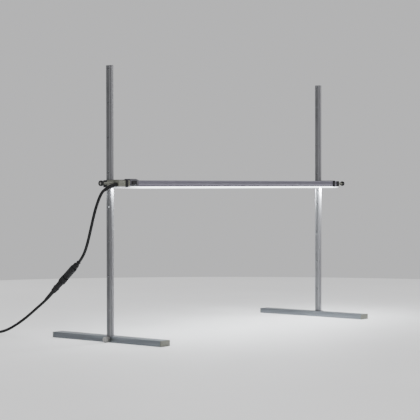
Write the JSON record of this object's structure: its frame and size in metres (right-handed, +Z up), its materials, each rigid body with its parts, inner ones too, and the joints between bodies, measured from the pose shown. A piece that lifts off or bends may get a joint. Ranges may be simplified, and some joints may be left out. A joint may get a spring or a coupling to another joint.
{
  "type": "led grow light",
  "caption": "Slim LED light bar carried between two slotted uprights on long flat feet, adjustable in height over a seed tray, with an inline coupler in its lead.",
  "frame": {"origin": "on the resting surface, midway between the two feet and midway along them", "axes": "+X along the lamp from its inlet end, +Y along the feet from the lamp's side to the back, +Z up"},
  "size_m": [1.0041, 0.5628, 0.603],
  "materials": {
    "aluminium_profile": "satin anodised extrusion with fine lengthwise die lines",
    "steel": "zinc-plated, lightly brushed",
    "black_plastic": "fine moulded texture",
    "grey_plastic": "fine moulded texture",
    "milky_diffuser": "translucent milky, glowing when lit",
    "white_board": "solder-mask white",
    "green_board": "solder-mask green",
    "blue_sleeve": "smooth sleeve",
    "red_sleeve": "smooth sleeve",
    "brass": "plated, polished",
    "cord_sheath": "matte extruded sheath"
  },
  "bodies": {
    "stand": {"left_foot": "aluminium_profile", "right_foot": "aluminium_profile", "left_foot_insert": "black_plastic", "right_foot_insert": "black_plastic", "left_foot_front_cap": "grey_plastic", "right_foot_front_cap": "grey_plastic", "left_foot_rear_cap": "grey_plastic", "right_foot_rear_cap": "grey_plastic", "left_post": "aluminium_profile", "right_post": "aluminium_profile", "left_foot_washer": "steel", "right_foot_washer": "steel", "lower_lead": "cord_sheath", "supply_coil": "cord_sheath", "coil_tie": "black_plastic", "supply_tail": "cord_sheath", "wall_plug": "black_plastic", "wall_plug_left_pin": "brass", "wall_plug_right_pin": "brass"},
    "lamp": {"left_slider": "black_plastic", "right_slider": "black_plastic", "left_clip": "black_plastic", "right_clip": "black_plastic", "left_clip_screw": "steel", "right_clip_screw": "steel", "lamp_housing": "aluminium_profile", "diffuser": "milky_diffuser", "led_board": "white_board", "driver_board": "green_board", "driver_transformer": "black_plastic", "driver_capacitor": "blue_sleeve", "left_end_cap": "grey_plastic", "right_end_cap": "black_plastic", "live_pin": "brass", "neutral_pin": "brass", "switch_housing": "black_plastic", "switch_body": "grey_plastic", "left_cap_screw": "steel", "module_screw": "steel", "right_cap_screw": "steel", "live_wire": "red_sleeve", "neutral_wire": "blue_sleeve", "lamp_plug": "black_plastic", "upper_lead": "cord_sheath"},
    "left_lock": {"left_lock_stud": "steel", "left_lock_knob": "black_plastic"},
    "right_lock": {"right_lock_stud": "steel", "right_lock_knob": "black_plastic"},
    "left_end_screw": {"left_end_stud": "grey_plastic", "left_end_knob": "black_plastic"},
    "right_end_screw": {"right_end_stud": "grey_plastic", "right_end_knob": "black_plastic"},
    "left_foot_thumbscrew": {"left_foot_screw": "steel"},
    "right_foot_thumbscrew": {"right_foot_screw": "steel"},
    "rocker": {"switch_rocker": "black_plastic"},
    "coupler": {"coupler_upper_gland": "black_plastic", "coupler_socket": "black_plastic", "coupler_plug": "black_plastic", "coupler_lower_gland": "black_plastic"},
    "collar": {"coupler_collar": "black_plastic"}
  },
  "joints": [
    {"name": "lamp_height", "type": "slide", "parent": "stand", "child": "lamp", "axis": [0, 0, 1], "range_m": [-0.16, 0.235], "deforming": ["upper_lead", "lower_lead"]},
    {"name": "left_lock_turn", "type": "hinge", "parent": "lamp", "child": "left_lock", "pos_m": [-0.39, -0.011, 0.346], "axis": [1, 0, 0], "continuous": true},
    {"name": "right_lock_turn", "type": "hinge", "parent": "lamp", "child": "right_lock", "pos_m": [0.39, -0.011, 0.346], "axis": [1, 0, 0], "continuous": true},
    {"name": "left_end_turn", "type": "hinge", "parent": "lamp", "child": "left_end_screw", "pos_m": [-0.44, -0.0441, 0.3462], "axis": [1, 0, 0], "continuous": true},
    {"name": "right_end_turn", "type": "hinge", "parent": "lamp", "child": "right_end_screw", "pos_m": [0.44, -0.0441, 0.3462], "axis": [1, 0, 0], "continuous": true},
    {"name": "left_foot_turn", "type": "hinge", "parent": "stand", "child": "left_foot_thumbscrew", "pos_m": [-0.41, -0.011, 0.0066], "axis": [1, 0, 0], "continuous": true},
    {"name": "right_foot_turn", "type": "hinge", "parent": "stand", "child": "right_foot_thumbscrew", "pos_m": [0.41, -0.011, 0.0066], "axis": [1, 0, 0], "continuous": true},
    {"name": "switch_rock", "type": "hinge", "parent": "lamp", "child": "rocker", "pos_m": [-0.377, -0.0602, 0.3476], "axis": [0, 0, 1], "range_deg": [-13.5, 0]},
    {"name": "coupler_rise", "type": "slide", "parent": "stand", "child": "coupler", "axis": [0, 0, 1], "range_m": [-0.09, 0.125]},
    {"name": "collar_turn", "type": "hinge", "parent": "coupler", "child": "collar", "pos_m": [-0.442, 0.0895, 0.1349], "axis": [0, 0.7617, -0.6479], "continuous": true}
  ],
  "couplings": [
    {"joint": "coupler_rise", "follows": "lamp_height", "ratio": 0.5}
  ]
}
